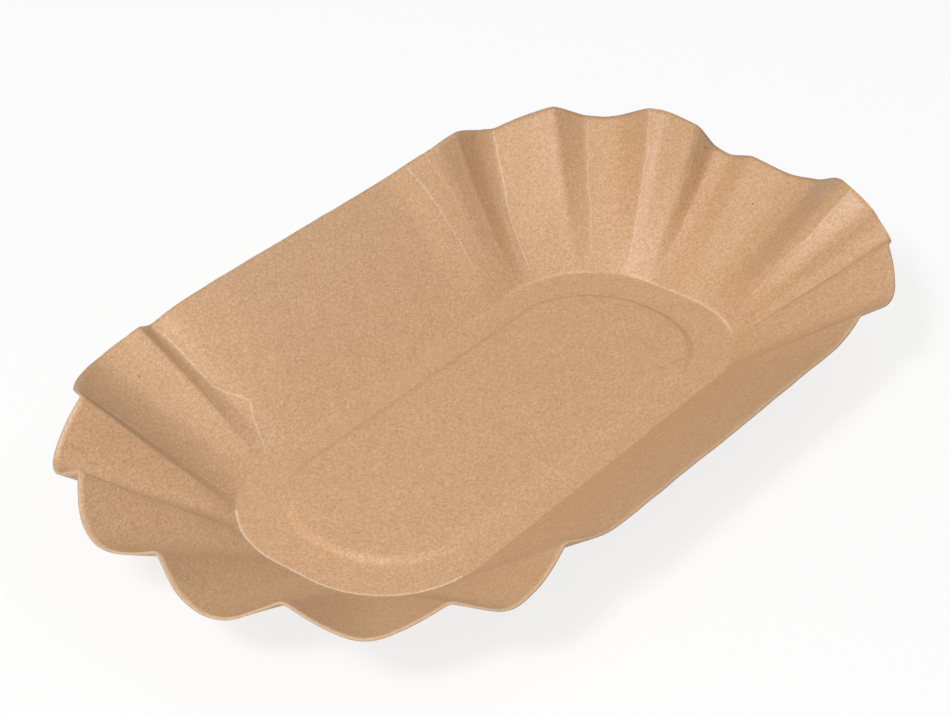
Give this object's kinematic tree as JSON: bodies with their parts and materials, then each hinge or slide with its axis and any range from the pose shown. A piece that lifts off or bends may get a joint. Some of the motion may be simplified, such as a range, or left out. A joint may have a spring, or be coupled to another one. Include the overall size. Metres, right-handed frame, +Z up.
{
  "type": "paper food tray",
  "caption": "Shallow oblong food tray pressed from one sheet of kraft board, with plain sloping long sides, fluted ends and a raised oval panel in the floor.",
  "frame": {"origin": "centre of the tray's footprint box, on the surface that the tray stands on", "axes": "+X along the tray, toward the end with the more even flutes; +Z up out of the open top; +Y across the tray"},
  "size_m": [0.1754, 0.1028, 0.0243],
  "materials": {
    "kraft_board": "matt brown kraft board with a fine fibre mottle"
  },
  "bodies": {
    "root": {"paper_tray": "kraft_board"}
  },
  "joints": []
}
